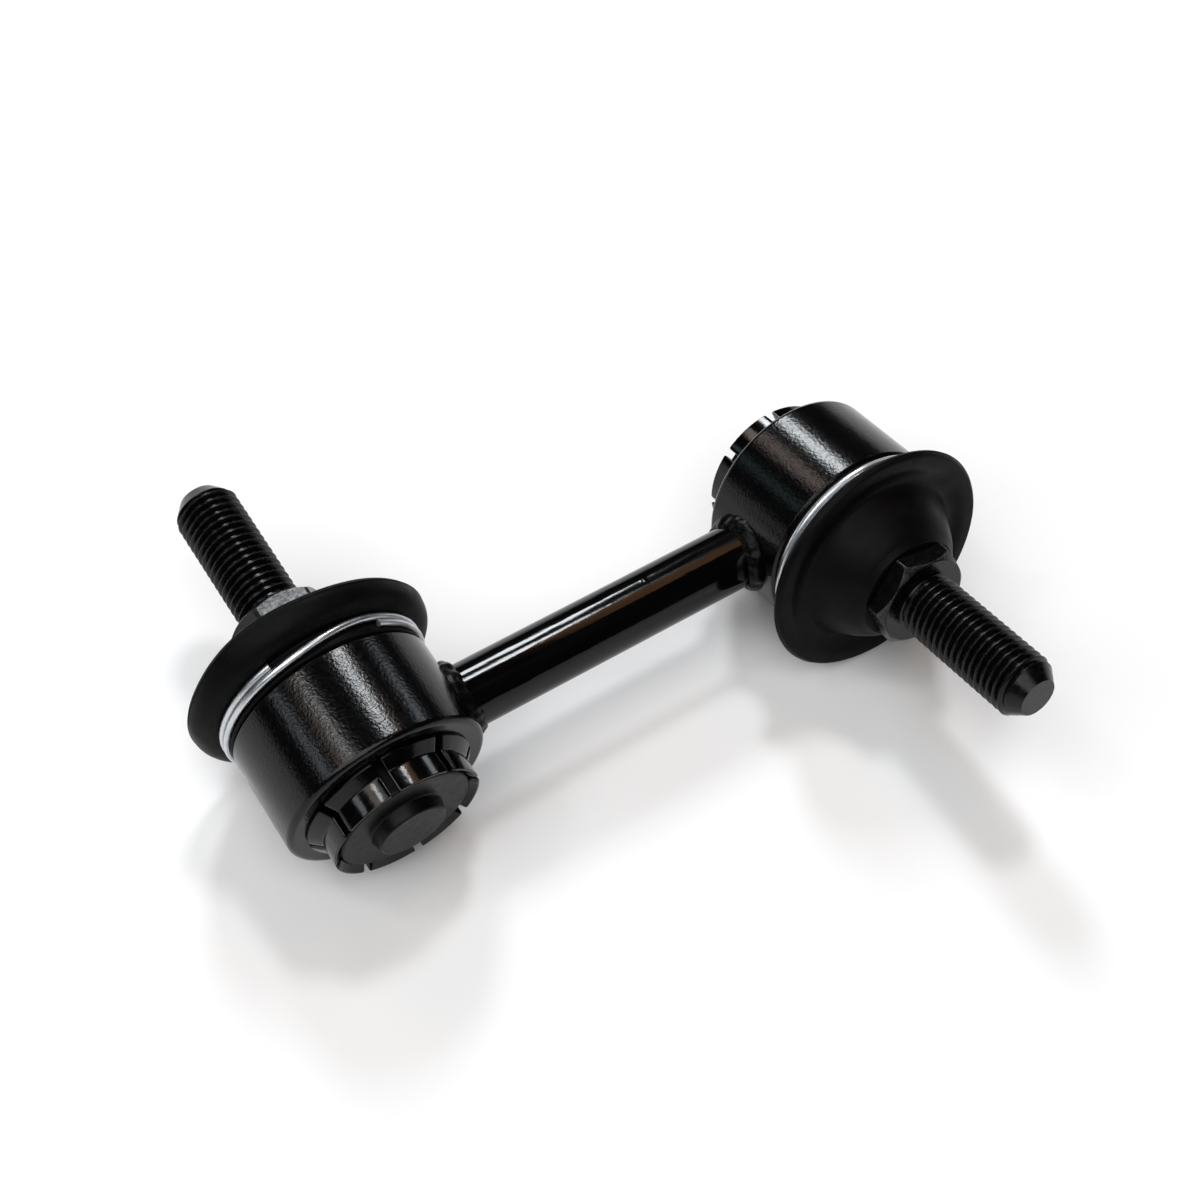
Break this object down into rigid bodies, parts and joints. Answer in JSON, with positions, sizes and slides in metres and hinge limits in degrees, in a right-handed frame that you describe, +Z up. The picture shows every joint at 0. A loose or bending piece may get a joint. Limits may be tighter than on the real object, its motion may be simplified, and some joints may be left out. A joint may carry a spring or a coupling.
{
  "type": "stabilizer link",
  "caption": "Short welded stabilizer link: a round rod with a ball joint at each end, its threaded hex-collared studs facing opposite ways out of rubber dust boots.",
  "frame": {"origin": "on the surface that the link lies on, under the middle of the rod", "axes": "+X along the rod from end A to end B, +Z up; stud A points to +Y and stud B to -Y"},
  "size_m": [0.1204, 0.098, 0.0384],
  "materials": {
    "black_paint": "semi-gloss black paint",
    "black_plastic": "satin moulded",
    "black_steel": "black phosphate, oiled",
    "black_rubber": "matte moulded",
    "bright_wire": "bright zinc plate",
    "ring_steel": "plain"
  },
  "bodies": {
    "link_body": {"rod": "black_paint", "housing_a": "black_paint", "housing_b": "black_paint", "weld_bead_a": "black_paint", "weld_bead_b": "black_paint", "bearing_a": "black_plastic", "bearing_b": "black_plastic", "end_plug_a": "black_plastic", "end_plug_b": "black_plastic", "clip_ring_a": "bright_wire", "clip_ring_b": "bright_wire"},
    "boot_a": {"dust_boot_a": "black_rubber"},
    "neck_a": {"neck_ring_a": "ring_steel"},
    "stud_a": {"ball_stud_a": "black_steel"},
    "boot_b": {"dust_boot_b": "black_rubber"},
    "neck_b": {"neck_ring_b": "ring_steel"},
    "stud_b": {"ball_stud_b": "black_steel"}
  },
  "joints": [
    {"name": "swing_a", "type": "hinge", "parent": "link_body", "child": "boot_a", "pos_m": [-0.0408, 0, 0.01708], "axis": [1, 0, 0], "range_deg": [-15, 15], "deforming": ["dust_boot_a"]},
    {"name": "tilt_a", "type": "hinge", "parent": "boot_a", "child": "neck_a", "pos_m": [-0.0408, 0, 0.01708], "axis": [0, 0.1461, -0.9893], "range_deg": [-15, 15], "deforming": ["dust_boot_a"]},
    {"name": "spin_a", "type": "hinge", "parent": "neck_a", "child": "stud_a", "pos_m": [-0.0408, 0, 0.01708], "axis": [0, 0.9893, 0.1461], "continuous": true},
    {"name": "swing_b", "type": "hinge", "parent": "link_body", "child": "boot_b", "pos_m": [0.0408, 0, 0.01708], "axis": [-1, 0, 0], "range_deg": [-15, 15], "deforming": ["dust_boot_b"]},
    {"name": "tilt_b", "type": "hinge", "parent": "boot_b", "child": "neck_b", "pos_m": [0.0408, 0, 0.01708], "axis": [0, -0.1461, -0.9893], "range_deg": [-15, 15], "deforming": ["dust_boot_b"]},
    {"name": "spin_b", "type": "hinge", "parent": "neck_b", "child": "stud_b", "pos_m": [0.0408, 0, 0.01708], "axis": [0, -0.9893, 0.1461], "continuous": true}
  ]
}
